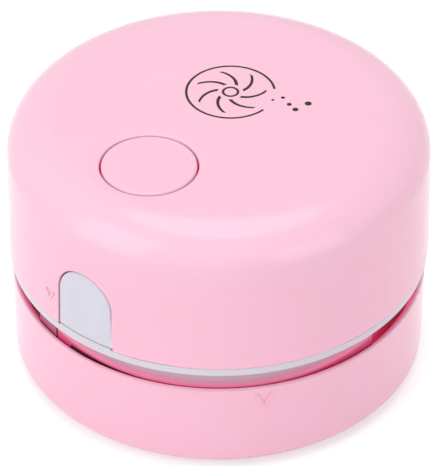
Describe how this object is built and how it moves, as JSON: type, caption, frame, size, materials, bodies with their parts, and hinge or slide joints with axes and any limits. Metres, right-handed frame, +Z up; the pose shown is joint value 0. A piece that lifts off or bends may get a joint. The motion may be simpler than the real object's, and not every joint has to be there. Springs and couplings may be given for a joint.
{
  "type": "desktop mini vacuum cleaner",
  "caption": "Round palm-sized desk vacuum: dust bin with a suction slot below, battery fan unit with push button and side release tab above, exhaust gap between them.",
  "frame": {"origin": "on the desk under the middle of the bin", "axes": "+Z up; the release tab and the power button face -Y"},
  "size_m": [0.0872, 0.087, 0.0578],
  "materials": {
    "pink_shell": "moulded ABS, gloss",
    "pink_bin": "moulded ABS, gloss",
    "pale_grey": "moulded ABS, soft gloss",
    "housing_white": "moulded ABS, matt",
    "black_rubber": "matt",
    "seal_rubber": "soft silicone, matt",
    "filter_fabric": "non-woven cloth",
    "bristle": "nylon filament tufts",
    "steel": "zinc plated",
    "spring_steel": "nickel plated wire",
    "motor_nylon": "nylon",
    "brass": "tinned tab",
    "cell_sleeve": "printed shrink sleeve over the can",
    "board_green": "solder mask over glass fibre",
    "switch_black": "moulded nylon",
    "wire_sleeve": "PVC sleeve"
  },
  "bodies": {
    "bin": {"dust_bin": "pink_bin", "nozzle_plate": "pale_grey", "bristle_tufts": "bristle", "nozzle_screws": "steel", "rubber_feet": "black_rubber"},
    "filter": {"filter_seal": "seal_rubber", "filter_frame": "pale_grey", "filter_cloth": "filter_fabric"},
    "power_unit": {"waist_ring": "pale_grey", "fan_guard": "pale_grey", "fan_housing": "housing_white", "housing_screws": "steel", "motor_can": "steel", "motor_end_cap": "motor_nylon", "motor_terminals": "brass", "battery_cell_left": "cell_sleeve", "battery_cell_right": "cell_sleeve", "contact_bridge": "spring_steel", "contact_tabs": "spring_steel", "contact_springs": "spring_steel", "circuit_board": "board_green", "board_screws": "steel", "switch_body": "switch_black", "motor_wires": "wire_sleeve", "battery_wires": "wire_sleeve"},
    "rotor": {"impeller": "housing_white", "motor_shaft": "steel"},
    "release_tab": {"release_tab": "pale_grey", "tab_spring": "spring_steel"},
    "top_cover": {"top_shell": "pink_shell"},
    "button": {"power_button": "pink_shell", "button_spring": "spring_steel"},
    "switch_plunger": {"switch_plunger": "motor_nylon"}
  },
  "joints": [
    {"name": "unit_twist", "type": "hinge", "parent": "bin", "child": "filter", "pos_m": [0, 0, 0.024], "axis": [0, 0, 1], "range_deg": [0, 62.6]},
    {"name": "unit_lift", "type": "slide", "parent": "filter", "child": "power_unit", "axis": [0, 0, 1], "range_m": [0, 0.03]},
    {"name": "cover_lift", "type": "slide", "parent": "power_unit", "child": "top_cover", "axis": [0, 0, 1], "range_m": [0, 0.032]},
    {"name": "fan_spin", "type": "hinge", "parent": "power_unit", "child": "rotor", "pos_m": [0, 0, 0.0336], "axis": [0, 0, 1], "continuous": true},
    {"name": "button_press", "type": "slide", "parent": "top_cover", "child": "button", "axis": [0, 0, -1], "range_m": [0, 0.0015], "stiffness_N_per_m": 400, "springref_m": -0.002, "deforming": ["button_spring"]},
    {"name": "plunger_press", "type": "slide", "parent": "power_unit", "child": "switch_plunger", "axis": [0, 0, -1], "range_m": [0, 0.0015]},
    {"name": "tab_press", "type": "slide", "parent": "power_unit", "child": "release_tab", "axis": [0, 1, 0], "range_m": [0, 0.0015], "stiffness_N_per_m": 400, "springref_m": -0.002, "deforming": ["tab_spring"]}
  ],
  "couplings": [
    {"joint": "plunger_press", "follows": "button_press", "ratio": 1}
  ]
}
